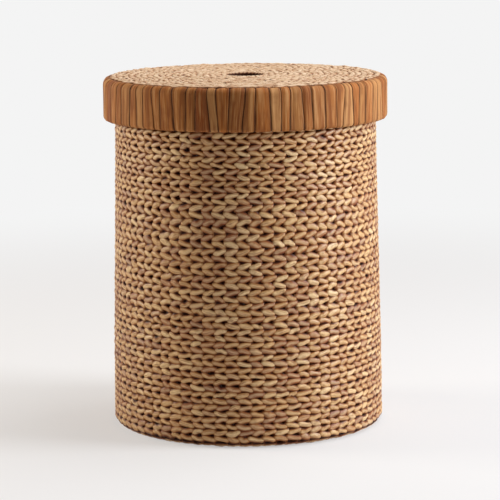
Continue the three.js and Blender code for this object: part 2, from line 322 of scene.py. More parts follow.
@dataclass(frozen=True)
class StrandFinish:
    """Twisted dried leaf: fine fibres, blotches and a tone that changes by leaf.

    A leaf is glossiest on its crown and painted palest there, as a painted highlight. Toward the
    crossings, row borders and seams it is painted brown, then nearly black, as painted shade.
    """

    name: str
    tones: tuple[Tone, ...]
    pale: Colour = shade(242, 212, 166)
    stain: Colour = shade(134, 70, 20)
    # Painted shade colours: brown toward the crossings, nearly black at them.
    hollow_painted_shade: Colour = shade(118, 54, 4)
    crease_painted_shade: Colour = shade(42, 9, 0)
    fibres: Noise = Noise((0.10, 1.9, 1.0), 3.0, 0.6)
    streaks: Noise = Noise((0.05, 0.55, 1.0), 2.0)
    blotches: Noise = Noise((0.16, 0.16, 1.0), 2.0)
    # Painted highlight: how far the crowns pale, away from the crossings.
    crown_painted_highlight: Cover = Cover(0.30, 0.0, 0.38)
    pale_fibres: Cover = Cover(0.42, 0.70, 0.24)
    stained_streaks: Cover = Cover(0.46, 0.68, 0.55)
    stained_blotches: Cover = Cover(0.56, 0.74, 0.32)
    # Painted shade: where the brown and the near black lie.
    hollow_shade_cover: Cover = Cover(0.04, 0.52, 0.88)
    crease_shade_cover: Cover = Cover(0.30, 0.95, 0.97)
    roughness: float = 0.42
    uneven_roughness: float = 0.2
    specular: float = 0.10
    gloss: float = 0.52
    gloss_index: float = 1.6
    gloss_roughness: float = 0.40
    fibre_share: float = 0.6
    fibre_depth: float = 0.6
    relief: float = 0.55

    def material(self) -> Material:
        """Make the material.

        Returns:
            The material.
        """
        bench = Bench(bpy.data.materials.new(self.name))
        grain = bench.kept(GRAIN)
        tone, crossing = bench.leaf()
        fibre = bench.noise(grain, self.fibres)
        streak = bench.noise(grain, self.streaks)
        blotch = bench.noise(grain, self.blotches)
        colour = bench.ramp(tone, self.tones)
        # Painted highlight on the leaves' crowns.
        colour = bench.mix(crossing.over(self.crown_painted_highlight), colour, self.pale)
        colour = bench.mix(fibre.over(self.pale_fibres), colour, self.pale)
        colour = bench.mix(streak.over(self.stained_streaks), colour, self.stain)
        colour = bench.mix(blotch.over(self.stained_blotches), colour, self.stain)
        # Painted shade toward crossings, row borders, seams and buried halves.
        colour = bench.mix(crossing.over(self.hollow_shade_cover), colour, self.hollow_painted_shade)
        colour = bench.mix(crossing.over(self.crease_shade_cover), colour, self.crease_painted_shade)
        height = fibre * self.fibre_share + streak * (1 - self.fibre_share)
        values = {
            "Base Color": colour,
            "Roughness": self.roughness + self.uneven_roughness * streak,
            "Specular IOR Level": self.specular,
            "Coat Weight": (1.0 - crossing) * self.gloss,
            "Coat IOR": self.gloss_index,
            "Coat Roughness": self.gloss_roughness,
            "Normal": bench.raised(height, self.fibre_depth, self.relief),
        }
        return bench.coated(values)


@dataclass(frozen=True)
class StripFinish:
    """Flattened leaf strips: long fibres down each strip, streaks, painted shade at uneven seams."""

    name: str
    tones: tuple[Tone, ...]
    # Painted shade colour for the seams between strips.
    seam: Colour = shade(40, 7, 0)
    streak: Colour = shade(112, 56, 24)
    pale: Colour = shade(208, 158, 104)
    fibres: Noise = Noise((0.035, 1.5, 1.0), 4.0, 0.6)
    streaks: Noise = Noise((0.02, 0.34, 1.0), 2.0)
    blotches: Noise = Noise((0.06, 0.10, 1.0), 3.0)
    gaps: Noise = Noise((0.05, 0.12, 1.0), 1.0)
    pale_fibres: Cover = Cover(0.42, 0.68, 0.36)
    dark_streaks: Cover = Cover(0.46, 0.64, 0.60)
    pale_streaks: Cover = Cover(0.44, 0.28, 0.42)
    dark_blotches: Cover = Cover(0.52, 0.74, 0.30)
    seam_shade_power: float = 7.0
    seam_shade_share: float = 0.55
    seam_shade_line: Cover = Cover(1.12, 1.28, 0.42)
    gap_reach: float = 0.6
    roughness: float = 0.55
    uneven_roughness: float = 0.22
    specular: float = 0.15
    fibre_share: float = 0.55
    fibre_depth: float = 0.7
    relief: float = 0.6

    def material(self) -> Material:
        """Make the material.

        Returns:
            The material.
        """
        bench = Bench(bpy.data.materials.new(self.name))
        grain = bench.kept(GRAIN)
        tone, seam = bench.leaf()
        fibre = bench.noise(grain, self.fibres)
        streak = bench.noise(grain, self.streaks)
        blotch = bench.noise(grain, self.blotches)
        gap = bench.noise(grain, self.gaps)
        colour = bench.ramp(tone, self.tones)
        colour = bench.mix(fibre.over(self.pale_fibres), colour, self.pale)
        colour = bench.mix(streak.over(self.dark_streaks), colour, self.streak)
        colour = bench.mix(streak.over(self.pale_streaks), colour, self.pale)
        colour = bench.mix(blotch.over(self.dark_blotches), colour, self.streak)
        # Painted shade: dark lines of uneven width along the strips' sides, where they meet.
        line = (seam + self.gap_reach * gap).over(self.seam_shade_line)
        colour = bench.mix(seam**self.seam_shade_power * self.seam_shade_share + line, colour, self.seam)
        height = fibre * self.fibre_share + streak * (1 - self.fibre_share)
        values = {
            "Base Color": colour,
            "Roughness": self.roughness + self.uneven_roughness * streak,
            "Specular IOR Level": self.specular,
            "Normal": bench.raised(height, self.fibre_depth, self.relief),
        }
        return bench.coated(values)


@dataclass(frozen=True)
class WireFinish:
    """Dark painted wire, a little worn in places."""

    name: str
    paint: Colour = shade(46, 36, 30)
    worn: Colour = shade(78, 62, 52)
    mottles: Noise = Noise((420.0, 420.0, 420.0), 3.0)
    worn_mottles: Cover = Cover(0.5, 0.8, 0.6)
    roughness: float = 0.34
    uneven_roughness: float = 0.25
    mottle_depth: float = 0.2
    relief: float = 0.25

    def material(self) -> Material:
        """Make the material.

        Returns:
            The material.
        """
        bench = Bench(bpy.data.materials.new(self.name))
        place = bench.add("ShaderNodeNewGeometry").outputs["Position"]
        mottle = bench.noise(place, self.mottles)
        values = {
            "Base Color": bench.mix(mottle.over(self.worn_mottles), self.paint, self.worn),
            "Roughness": self.roughness + self.uneven_roughness * mottle,
            "Normal": bench.raised(mottle, self.mottle_depth, self.relief),
        }
        return bench.coated(values)


@dataclass(frozen=True)
class StudioFinish:
    """The pale studio floor: even to the camera and in reflections, but it keeps the shadow.

    Its own glow takes over from the lamps' light with the distance from the hamper, in metres.
    """

    name: str
    ground: Colour = shade(229, 230, 232)
    near_glow: Colour = shade(242, 239, 238)
    far_glow: Colour = shade(244, 244, 244)
    glow_share: float = 0.55
    near: float = 0.7
    far: float = 2.4

    def material(self) -> Material:
        """Make the material.

        Returns:
            The material.
        """
        bench = Bench(bpy.data.materials.new(self.name))
        place = bench.add("ShaderNodeNewGeometry").outputs["Position"]
        length = bench.add("ShaderNodeVectorMath", {"operation": "LENGTH"}, {0: place})
        away = Level(bench, length.outputs["Value"]).within(self.near, self.far)
        glow = bench.mix(away, self.near_glow, self.far_glow)
        plain = bench.add("ShaderNodeBsdfDiffuse", None, {"Color": self.ground}).outputs[0]
        bright = bench.add("ShaderNodeEmission", None, {"Color": glow}).outputs[0]
        share = self.glow_share + (1 - self.glow_share) * away
        values = {0: bench.looked_at() * share, 1: plain, 2: bright}
        return bench.surface(bench.add("ShaderNodeMixShader", None, values).outputs[0])


class Fabric:
    """Gathers swept strands into one mesh, with the values that a finish reads at its corners.

    The corners keep three things: a place in a chart of equal cells, a grain of millimetres along
    and around a strand, and a leaf's tone with how near the corner is to a crossing or seam.
    """

    MARGIN = 0.04
    CAP_ROOM = 0.10
    CAP_SIZE = 0.04
    CAP_SPAN = (0.3, 0.3, 0.9, 0.9)
    CAP_GRAIN = 6
    GRAIN_SHIFT = 90
    SHARP_ANGLE = 58

    def __init__(self, columns: int, rows: int, seed: int) -> None:
        """Start an empty mesh.

        Args:
            columns: Cells across the chart.
            rows: Cells up the chart.
            seed: What the tones of its leaves are drawn from.
        """
        self.columns = columns
        self.rows = rows
        self.chance = np.random.default_rng(seed)
        self.points: list[Array] = []
        self.faces: list[Array] = []
        self.corners: list[Array] = []
        self.count = 0
        self.cells = 0

    def _chart(self, cell: Array, along: Array, around: Array) -> Array:
        """Place corners in their cells of the chart.

        Args:
            cell: The number of each corner's cell.
            along: Its place across the cell, from 0 to 1.
            around: Its place up the cell.

        Returns:
            Pairs from 0 to 1 across and up the chart.
        """
        room = 1 - 2 * self.MARGIN
        across = (cell % self.columns + self.MARGIN + room * along) / self.columns
        up = (cell // self.columns + self.MARGIN + room * around) / self.rows
        return np.stack([across, up], -1)

    def sweep(self, rings: Array, steps: int, closed: bool, edge: Array) -> None:
        """Add the skin through rings of points.

        Args:
            rings: Points of each ring, in the order of the path.
            steps: How many spans of the path make one leaf.
            closed: Whether the last ring joins the first.
            edge: How near each ring's point is to a crossing or a seam, from 0 to 1.
        """
        total, sides = rings.shape[:2]
        spans = total if closed else total - 1
        leaves = spans // steps
        tones = self.chance.random(leaves)
        phase = self.chance.random(leaves) * self.GRAIN_SHIFT
        i, j = np.meshgrid(np.arange(spans), np.arange(sides), indexing="ij")
        corner_i = np.stack([i, i + 1, i + 1, i], -1)
        corner_j = np.stack([j, j, j + 1, j + 1], -1)
        index = corner_i % total * sides + corner_j % sides
        flat = rings.reshape(-1, 3)
        across = np.linalg.norm(np.roll(rings, -1, axis=1) - rings, axis=2).sum(axis=1).mean()
        onward = np.linalg.norm(np.diff(rings.mean(axis=1), axis=0), axis=1).mean()
        leaf = (i // steps)[..., None] + np.zeros(4, int)
        local = corner_i - leaf * steps
        room = 1.0 if closed else 1 - self.CAP_ROOM
        chart = self._chart(self.cells + leaf, room * local / steps, corner_j / sides)
        grain = [local * onward, corner_j / sides * across, phase[leaf]]
        kept = np.stack([*grain, tones[leaf], edge.reshape(-1)[index]], -1)
        corners = np.concatenate([chart, kept], -1)
        faces = [index.reshape(-1, 4)]
        data = [corners.reshape(-1, 4, 7)]
        if not closed:
            for ring, start in ((0, room), (total - 1, 1 - self.CAP_SIZE)):
                face, corner = self._cap(ring, sides, start)
                corner[..., 2] = ring * onward
                corner[..., 4] = phase[0]
                corner[..., 5] = tones[0]
                corner[..., 6] = edge.reshape(-1)[face]
                faces.append(face if ring else face[:, ::-1])
                data.append(corner if ring else corner[:, ::-1])
        face = np.concatenate(faces)
        corner = np.concatenate(data)
        if self._volume(flat, face) < 0:
            face = face[:, ::-1]
            corner = corner[:, ::-1]
        self.points.append(flat)
        self.faces.append(face + self.count)
        self.corners.append(corner)
        self.count += len(flat)
        self.cells += leaves

    def _cap(self, ring: int, sides: int, start: float) -> tuple[Array, Array]:
        """Close the end of an open sweep with a row of four-sided faces.

        Args:
            ring: The number of the end's ring.
            sides: How many points a ring has.
            start: Where the cap starts across its cell of the chart.

        Returns:
            The faces, and what their corners keep.
        """
        j = np.arange(sides // 2 - 1)
        local = np.stack([j, j + 1, sides - 2 - j, sides - 1 - j], -1)
        along = start + np.array(self.CAP_SPAN) * self.CAP_SIZE
        up = np.stack([j, j + 1, j + 1, j], -1) / (sides // 2)
        chart = self._chart(np.full_like(local, self.cells), along, up)
        blank = np.zeros((*local.shape, 5))
        blank[..., 1] = up * self.CAP_GRAIN
        return local + ring * sides, np.concatenate([chart, blank], -1)

    @staticmethod
    def _volume(points: Array, faces: Array) -> float:
        """Measure six times the volume that faces enclose, below zero where they look inward."""
        a, b, c, d = (points[faces[:, k]] for k in range(4))
        return float((a * (np.cross(b, c) + np.cross(c, d))).sum())

    def piece(self, name: str, material: Material, role: Role) -> None:
        """Make the object, dress it and tie it to the frame.

        Args:
            name: The piece's name.
            material: Its finish.
            role: What it is in the frame.
        """
        points = np.concatenate(self.points) * METRE
        faces = np.concatenate(self.faces)
        corners = np.concatenate(self.corners).reshape(-1, 7).astype(np.float32)
        mesh = bpy.data.meshes.new(name)
        mesh.from_pydata(points, [], faces, shade_flat=False)
        chart = mesh.uv_layers.new(name=CHART)
        chart.uv.foreach_set("vector", corners[:, :2].ravel())
        kept = np.concatenate([corners[:, 5:7], np.zeros((len(corners), 1), np.float32)], axis=1)
        for label, values in ((GRAIN, corners[:, 2:5]), (LEAF, kept)):
            layer = mesh.attributes.new(label, "FLOAT_VECTOR", "CORNER")
            layer.data.foreach_set("vector", values.ravel())
        mesh.materials.append(material)
        mesh.set_sharp_from_angle(angle=math.radians(self.SHARP_ANGLE))
        made = placed(name, mesh)
        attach(made, role.body.value)
        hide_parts(role.node)
        LOG.info("%s: %d faces, rides on %s", name, len(faces), role.body.value)


@dataclass(frozen=True)
class Row:
    """One twined row: a ring along which two strands are twisted round each stake.

    The shown face looks along (out_radius, out_height), and the next rows lie a quarter turn
    further on. The slope is a share of the usual one, the start a share of a stitch, and the
    drift shifts where the row wanders up and down.
    """

    radius: float
    height: float
    out_radius: float
    out_height: float
    half_depth: float
    half_width: float
    stitches: int
    lean: Lean
    slope: float
    start: float
    drift: float


@dataclass(frozen=True)
class Twiner:
    """Twists two strands along a row, with the unevenness of handwork.

    A strand is plump where it passes over a stake and narrow where it dives between two, there
    side by side with the other strand. Its hidden half spreads behind its neighbours, so that the
    weave is closed. Widths are shares of a row's half width, and depths of its half depth. The
    wave is how far a row wanders up and down, in millimetres.
    """

    wave: float
    steps: int = 10
    sides: int = 10
    swing: float = 0.41
    crown_width: float = 1.02
    tip_width: float = 0.45
    taper: float = 0.62
    crown_thickness: float = 0.50
    tip_thickness: float = 0.52
    tip_lift: float = 0.58
    dive: float = 0.50
    seen_slope: float = 1.5
    seen_middle: float = 0.5
    hidden_spread: float = 0.25
    tip_spread: float = 0.75
    skew: float = -0.15
    full_depth: float = 6.0
    uneven_width: float = 0.17
    thinnest: float = -0.10
    uneven_bulge: float = 0.6
    uneven_place: float = 0.75
    uneven_crossing: float = 0.07
    uneven_turn: float = 0.26
    turn_lift: float = 0.5
    ridge: float = 0.05
    waves: tuple[tuple[int, float], ...] = ((3, 0.0), (5, 2.1), (8, 4.2))
    # Painted shade mask: how row borders, leaf tips and buried halves darken.
    border_shade_power: float = 2.8
    border_shade_at_tip: float = 0.45
    tip_shade: float = 0.2
    tip_shade_power: int = 5
    buried_shade_slope: float = 3.0
    buried_shade_start: float = 0.05

    def add(self, fabric: Fabric, row: Row) -> None:
        """Add both strands of a row to a mesh.

        Args:
            fabric: The mesh.
            row: The row.
        """
        jitter = fabric.chance.normal(0, self.uneven_crossing, row.stitches)
        for strand in (0, 1):
            self._strand(fabric, row, strand, jitter)

    def _strand(self, fabric: Fabric, row: Row, strand: int, jitter: Array) -> None:
        """Add one strand of a row.

        Args:
            fabric: The mesh.
            row: The row.
            strand: 0, or 1 for the strand that is half a turn further on.
            jitter: How far each crossing is shifted, in stitches.
        """
        chance = fabric.chance
        count = row.stitches
        place = np.arange(count * self.steps) / self.steps - 0.5
        leaf = np.arange(count * self.steps) // self.steps
        turn = math.pi * (place + strand)
        facing, sway = np.cos(turn), np.sin(turn)
        full = np.abs(facing)
        side = np.sign(facing)
        evenness = row.half_depth / self.full_depth

        def by_leaf(spread: float) -> Array:
            """Draw a number for each leaf, fading out at the crossings."""
            return chance.normal(0, spread * evenness, count)[leaf] * full**2

        before, after = jitter[leaf - 1], jitter[leaf]
        share = (place - leaf + 0.5) % 1.0
        shift = before + (after - before) * (0.5 - 0.5 * np.cos(math.pi * share))
        angle = (place + shift + row.start) * math.tau / count
        thin = self.tip_thickness + (1 - self.tip_thickness) * full
        half_thick = row.half_depth * self.crown_thickness * thin
        bulge = row.half_depth * (1 - self.crown_thickness) * side * full**self.dive
        bulge = bulge + row.half_depth * self.tip_lift * (1 - full) ** 2
        bulge = bulge - np.abs(by_leaf(self.uneven_bulge)) * side
        width = self.tip_width + (self.crown_width - self.tip_width) * full**self.taper
        swell = np.maximum(by_leaf(self.uneven_width), self.thinnest)
        width = width * (1 + self.skew * sway * side * full + swell)
        width = width * row.half_width
        climb = row.half_width * self.swing * row.slope * sway * row.lean.value
        climb = climb + by_leaf(self.uneven_place)
        wander = sum(np.sin(k * angle + phase + row.drift) / k for k, phase in self.waves)
        climb = climb + self.wave * wander
        radius = row.radius + row.out_radius * bulge - row.out_height * climb
        height = row.height + row.out_height * bulge + row.out_radius * climb
        path = turned(radius, angle, height)
        onward = heading(path)
        across = unit(np.cross(turned(row.out_radius, angle, row.out_height), onward))
        out = np.cross(onward, across)
        around = np.arange(self.sides) / self.sides * math.tau
        rough = 1 + chance.normal(0, self.ridge, (count, self.sides))[leaf] * full[:, None]
        seen = np.clip(self.seen_slope * facing + self.seen_middle, -1, 1)[:, None]
        hidden = 0.5 - 0.5 * np.cos(around) * seen
        spread = 1 + hidden * (self.hidden_spread + self.tip_spread * (1 - full[:, None]))
        wide = np.sin(around) * width[:, None] * rough * spread
        thick = np.cos(around) * half_thick[:, None] * rough
        tilt = by_leaf(self.uneven_turn)[:, None]
        first = wide * np.cos(tilt) - thick * np.sin(tilt)
        second = wide * np.sin(tilt) * self.turn_lift + thick * np.cos(tilt)
        rings = skin(path, across, out, first, second)
        # Painted shade mask: darkest at row borders, at leaf tips and on the strand's buried half.
        depth = self.border_shade_at_tip + (1 - self.border_shade_at_tip) * full[:, None]
        border = np.abs(np.sin(around)) ** self.border_shade_power * depth
        tip = self.tip_shade * (1 - full[:, None]) ** self.tip_shade_power
        hiding = -self.buried_shade_slope * facing[:, None] * np.where(np.cos(around) > 0, 1.0, -1.0)
        buried = np.clip(hiding - self.buried_shade_start, 0, 1)
        fabric.sweep(rings, self.steps, True, 1 - (1 - tip) * (1 - border) * (1 - buried))


WALL_TONES = (
    (112, 50, 4), (148, 80, 18), (168, 112, 46), (192, 142, 80),
    (164, 106, 38), (200, 154, 94), (216, 180, 128), (138, 68, 8),
)
LID_TONES = (
    (172, 126, 86), (204, 168, 129), (219, 191, 155), (202, 166, 127),
    (228, 202, 170), (211, 177, 142),
)
BAND_TONES = (
    (118, 52, 14), (148, 84, 32), (162, 102, 52), (142, 84, 38),
    (160, 92, 36), (154, 98, 48), (180, 128, 78),
)


@dataclass(kw_only=True)
class Weave:
    """Twined rows, woven in pieces of a few rows each."""

    name: str
    role: Role
    seed: int
    rows_in_piece: int
    wave: float

    def rows(self) -> list[Row]:
        """Lay out the rows."""
        raise NotImplementedError

    def build(self, material: Material) -> None:
        """Weave the rows and make the pieces.

        Args:
            material: The strands' finish.
        """
        twiner = Twiner(self.wave)
        rows = self.rows()
        for start in range(0, len(rows), self.rows_in_piece):
            group = rows[start : start + self.rows_in_piece]
            side = math.ceil(math.sqrt(sum(2 * row.stitches for row in group)))
            fabric = Fabric(side, side, self.seed + start)
            for row in group:
                twiner.add(fabric, row)
            name = f"{self.name}_{start + 1:02d}_{start + len(group):02d}"
            fabric.piece(name, material, self.role)


@dataclass(kw_only=True)
class WallWeave(Weave):
    """The basket's wall: twined rows from its turned-under foot up to the rim border."""

    name: str = "wall_rows"
    role: Role = Role(Body.BASKET, "wall_strands", "wall_weave")
    seed: int = 100
    start_seed: int = 40
    rows_in_piece: int = 4
    wave: float = 1.4
    foot_radius: float = 218.0
    rim_radius: float = 209.0
    rim_top: float = 546.7
    top: float = 534.4
    half_thickness: float = 6.0
    foot_rounding: float = 14.0
    flange_radius: float = 193.5
    flange_half_thickness: float = 3.5
    thickening: float = 3.0
    stitches: int = 72
    drift_length: float = 60.0
    uneven_start: float = 0.05
    pitch_heights: tuple[float, ...] = (0.0, 180.0, 200.0, 290.0, 305.0, 365.0, 380.0, 548.0)
    pitches: tuple[float, ...] = (9.9, 9.9, 10.35, 10.35, 11.2, 11.2, 9.2, 9.2)
    slope_heights: tuple[float, ...] = (0.0, 120.0, 320.0)
    slopes: tuple[float, ...] = (0.75, 0.75, 1.05)

    def radius(self, height: float) -> float:
        """Give the wall's outer radius at a height; it eases from the foot's to the rim's."""
        share = min(max(height / self.rim_top, 0.0), 1.0)
        return self.foot_radius - (self.foot_radius - self.rim_radius) * (share * share * (3 - 2 * share))

    def _turned_under(self) -> tuple[float, float]:
        """Measure the flange and the foot's rounding, along the middle of the weave.

        Returns:
            Both lengths.
        """
        mean_half = (self.half_thickness + self.flange_half_thickness) / 2
        flat = self.radius(self.foot_rounding) - self.foot_rounding - self.flange_radius
        return flat, (self.foot_rounding - mean_half) * math.pi / 2

    def _middle(self, way: float) -> tuple[float, float, float, float, float]:
        """Find the middle of the weave along its outline.

        Args:
            way: Distance from the flange's inner edge, under the foot and up the wall.

        Returns:
            Radius, height, the outward direction's two parts and the half thickness.
        """
        flat, arc = self._turned_under()
        half = self.flange_half_thickness
        if way < flat:
            return self.flange_radius + way, half, 0.0, -1.0, half
        if way < flat + arc:
            share = (way - flat) / arc
            angle = (share - 1) * math.pi / 2
            half += (self.half_thickness - half) * min(1.0, self.thickening * share)
            reach = self.foot_rounding - half
            radius = self.radius(self.foot_rounding) - self.foot_rounding
            radius += reach * math.cos(angle)
            height = self.foot_rounding + reach * math.sin(angle)
            return radius, height, math.cos(angle), math.sin(angle), half
        height = self.foot_rounding + way - flat - arc
        slope = (self.radius(height + 1) - self.radius(height - 1)) / 2
        length = math.hypot(1, slope)
        radius = self.radius(height) - self.half_thickness
        return radius, height, 1 / length, -slope / length, self.half_thickness

    def rows(self) -> list[Row]:
        """Lay out the rows, their leaves sloping by turns one way and the other.

        Returns:
            The rows from the flange's inner edge up to the border.
        """
        turned_under = sum(self._turned_under())
        total = turned_under + self.top - self.foot_rounding
        pitches: list[float] = []
        way = 0.0
        while way < total:
            height = way - turned_under + self.foot_rounding
            pitches.append(float(np.interp(height, self.pitch_heights, self.pitches)))
            way += pitches[-1]
        stretch = total / way
        rows: list[Row] = []
        chance = np.random.default_rng(self.start_seed)
        way = 0.0
        for pitch, lean in zip(pitches, cycle(reversed(Lean))):
            room = pitch * stretch
            middle = self._middle(way + room / 2)
            slope = float(np.interp(middle[1], self.slope_heights, self.slopes))
            start = float(chance.normal(0, self.uneven_start))
            drift = way / self.drift_length
            rows.append(Row(*middle, room / 2, self.stitches, lean, slope, start, drift))
            way += room
        return rows


@dataclass(kw_only=True)
class RoundWeave(Weave):
    """A flat round weave of twined rings, as in the basket's base and the lid's top."""

    outer: float
    inner: float
    middle: float
    half_thickness: float
    row_count: int
    faces_up: bool
    rows_in_piece: int = 6
    wave: float = 0.3
    widest_leaf: float = 17.67
    stitch_counts: tuple[int, ...] = (6, 12, 24, 36, 48, 72)

    def _stitches(self, radius: float) -> int:
        """Choose the lowest count of stitches whose leaves aren't too wide, or else the highest."""
        fits = (count for count in self.stitch_counts if math.tau * radius / count < self.widest_leaf)
        return next(fits, self.stitch_counts[-1])

    def rows(self) -> list[Row]:
        """Lay out the rings from the outside in, their leaves sloping by turns.

        Returns:
            The rings.
        """
        chance = np.random.default_rng(self.seed)
        room = (self.outer - self.inner) / self.row_count
        facing = 1.0 if self.faces_up else -1.0
        rows: list[Row] = []
        for index, lean in zip(range(self.row_count), cycle(Lean)):
            radius = self.outer - room * (index + 0.5)
            place = (radius, self.middle, 0.0, facing, self.half_thickness, room / 2)
            start = float(chance.random())
            drift = float(chance.random() * math.tau)
            rows.append(Row(*place, self._stitches(radius), lean, 1.0, start, drift))
        return rows


@dataclass(kw_only=True)
class BoundRing:
    """A ring bound with short strips, each wound once round its section.

    The throat's painted shade darkens the side that faces the middle of the ring, below its top.
    The strips' sides, where they meet, carry painted shade too.
    """

    name: str
    role: Role
    seed: int
    radius: float
    middle: float
    half_width: float
    half_height: float
    turns: int
    throat_shade: float = 0.0
    throat_start: float = 0.2
    throat_ease: float = 0.3
    throat_top: float = 0.2
    strip_thickness: float = 2.4
    strip_share: float = 0.54
    slant: float = 0.5
    squareness: float = 0.62
    flat_power: float = 0.45
    deep_power: float = 0.8
    seam_shade_power: int = 6
    uneven_radius: float = 0.02
    uneven_place: float = 0.04
    uneven_width: float = 0.06
    ridge: float = 0.08
    path_steps: int = 26
    sides: int = 12
    cell_length: int = 4

    def build(self, material: Material) -> None:
        """Wind the strips and make the piece.

        Args:
            material: The strips' finish.
        """
        columns = math.ceil(math.sqrt(self.turns * self.cell_length))
        fabric = Fabric(columns, math.ceil(self.turns / columns), self.seed)
        chance = fabric.chance
        around = np.arange(self.path_steps) / self.path_steps * math.tau
        half = self.strip_thickness / 2
        out_r = squarer(np.cos(around), self.squareness)
        out_z = squarer(np.sin(around), self.squareness)
        section = np.arange(self.sides) / self.sides * math.tau
        flat = squarer(np.cos(section), self.flat_power)
        deep = squarer(np.sin(section), self.deep_power)
        # Painted shade mask: the throat and the strips' sides.
        inward = np.clip((-out_r - self.throat_start) / self.throat_ease, 0, 1)
        throat = self.throat_shade * inward * np.clip((1.0 - out_z) / self.throat_top, 0, 1)
        edge = 1 - (1 - np.abs(flat)[None] ** self.seam_shade_power) * (1 - throat[:, None])
        pitch = math.tau / self.turns
        height = self.middle + (self.half_height - half) * out_z
        lean = self.slant * pitch * np.sin(around)
        reach = (self.half_width - half) * out_r
        for turn in range(self.turns):
            radius = self.radius + reach * (1 + chance.normal(0, self.uneven_radius))
            angle = (turn + chance.normal(0, self.uneven_place)) * pitch + lean
            path = turned(radius, angle, height)
            onward = heading(path)
            out = unit(np.cross(onward, sideways(angle)))
            across = np.cross(out, onward)
            width = radius * pitch * self.strip_share
            width = width * (1 + chance.normal(0, self.uneven_width))
            ridges = 1 + chance.normal(0, self.ridge, self.sides)
            rings = skin(path, across, out, flat * width[:, None], deep * half * ridges)
            fabric.sweep(rings, self.path_steps, True, edge)
        fabric.piece(self.name, material, self.role)


@dataclass
class LidBand:
    """The lid's deep band of flat strips, each folded over the top hoop and under the lower."""

    name: str = "lid_band_strips"
    role: Role = Role(Body.LID, "band_strips", "lid_band_wrap")
    outer_radius: float = 226.3
    top: float = 557.6
    bottom: float = 491.0
    thickness: float = 4.6
    top_fold_radius: float = 215.0
    bottom_fold_radius: float = 213.3
    top_rounding: float = 8.0
    bottom_rounding: float = 3.2
    fold_points: int = 5
    turn_points: int = 6
    side_points: int = 15
    strips: int = 76
    swing: float = 0.24
    swing_step: float = 2.4
    ripple: float = 0.14
    ripple_step: float = 5.3
    ripple_start: float = 1.0
    crown: float = 0.2
    ridge: float = 0.30
    lean: float = 0.16
    bend: float = 0.10
    bend_waves: float = 3.0
    overlap: float = 1.012
    end_share: float = 0.2
    end_power: int = 24
    flat_power: float = 0.5
    deep_power: float = 0.34
    sides: int = 22
    pieces: int = 4
    seed: int = 500

    def borders(self, way: Array) -> Array:
        """Lay out the lines between uneven strips; neighbours share a line that leans and bends.

        Args:
            way: Places along a strip, from -1 to 1.

        Returns:
            A row of angles for each line, the last a full turn after the first.
        """
        index = np.arange(self.strips)
        widths = 1 + self.swing * np.sin(self.swing_step * index)
        widths = widths + self.ripple * np.sin(self.ripple_step * index + self.ripple_start)
        lines = np.concatenate([[0.0], np.cumsum(widths / widths.sum())]) * math.tau
        chance = np.random.default_rng(self.seed + self.pieces)
        lean = chance.normal(0, self.lean, (self.strips, 1)) * way
        bend = chance.normal(0, self.bend, (self.strips, 1)) * np.sin(self.bend_waves * way)
        off = (lean + bend) * math.pi / self.strips
        return lines[:, None] + np.concatenate([off, off[:1]])

    def _rounding(self, radius: float, height: float, reach: float, first: float) -> Array:
        """Trace a quarter turn downward round a centre, from an angle in degrees."""
        angle = np.radians(np.linspace(first, first - 90, self.turn_points))
        return np.stack([radius + reach * np.cos(angle), height + reach * np.sin(angle)], -1)

    def _path(self) -> Array:
        """Trace the middle of a strip's thickness from the top fold's end to the bottom fold's.

        Returns:
            Pairs of radius and height.
        """
        half = self.thickness / 2
        wall = self.outer_radius - half
        high = self.top - half
        low = self.bottom + half
        reach = self.top_rounding
        shoulder = self._rounding(wall - reach, high - reach, reach, 90.0)
        reach = self.bottom_rounding
        hem = self._rounding(wall - reach, low + reach, reach, 0.0)
        over = np.linspace((self.top_fold_radius, high), shoulder[0], self.fold_points)
        side = np.linspace(shoulder[-1], hem[0], self.side_points)
        under = np.linspace(hem[-1], (self.bottom_fold_radius, low), self.fold_points)
        return np.concatenate([over[:-1], shoulder, side[1:-1], hem, under[1:]])

    def build(self, material: Material) -> None:
        """Wrap the strips round the band and make its pieces.

        Args:
            material: The strips' finish.
        """
        path = self._path()
        onward = unit(np.gradient(path, axis=0))
        outward = np.stack([-onward[:, 1], onward[:, 0]], -1)
        outward *= np.sign((outward * (path - path.mean(axis=0))).sum())
        way = np.linspace(-1, 1, len(path))
        thin = self.end_share + (1 - self.end_share) * (1 - np.abs(way) ** self.end_power) ** 0.5
        section = (np.arange(self.sides) + 0.5) / self.sides * math.tau
        flat = squarer(np.cos(section), self.flat_power)
        deep = squarer(np.sin(section), self.deep_power)
        crown = self.crown * (1 - flat**2)
        # Painted shade mask for the seams: the strips' sides, where neighbours meet.
        edge = np.repeat(np.abs(flat)[None], len(path), axis=0)
        borders = self.borders(way)
        down = np.linspace(0, 1, len(path))[:, None]
        per_piece = self.strips // self.pieces
        for piece in range(self.pieces):
            fabric = Fabric(per_piece, 1, self.seed + piece)
            for number in range(piece * per_piece, (piece + 1) * per_piece):
                angle = (borders[number] + borders[number + 1]) / 2
                half_angle = (borders[number + 1] - borders[number]) / 2
                width = path[:, 0] * half_angle * self.overlap
                first, last = fabric.chance.normal(0, self.ridge, (2, self.sides))
                ridges = first * (1 - down) + last * down
                depth = deep * self.thickness / 2 * thin[:, None]
                depth = depth + (deep > 0) * (crown + ridges)
                base = turned(path[:, 0], angle, path[:, 1])
                out = turned(outward[:, 0], angle, outward[:, 1])
                rings = skin(base, sideways(angle), out, flat * width[:, None], depth)
                fabric.sweep(rings, len(path) - 1, False, edge)
            fabric.piece(f"{self.name}_{piece + 1}", material, self.role)


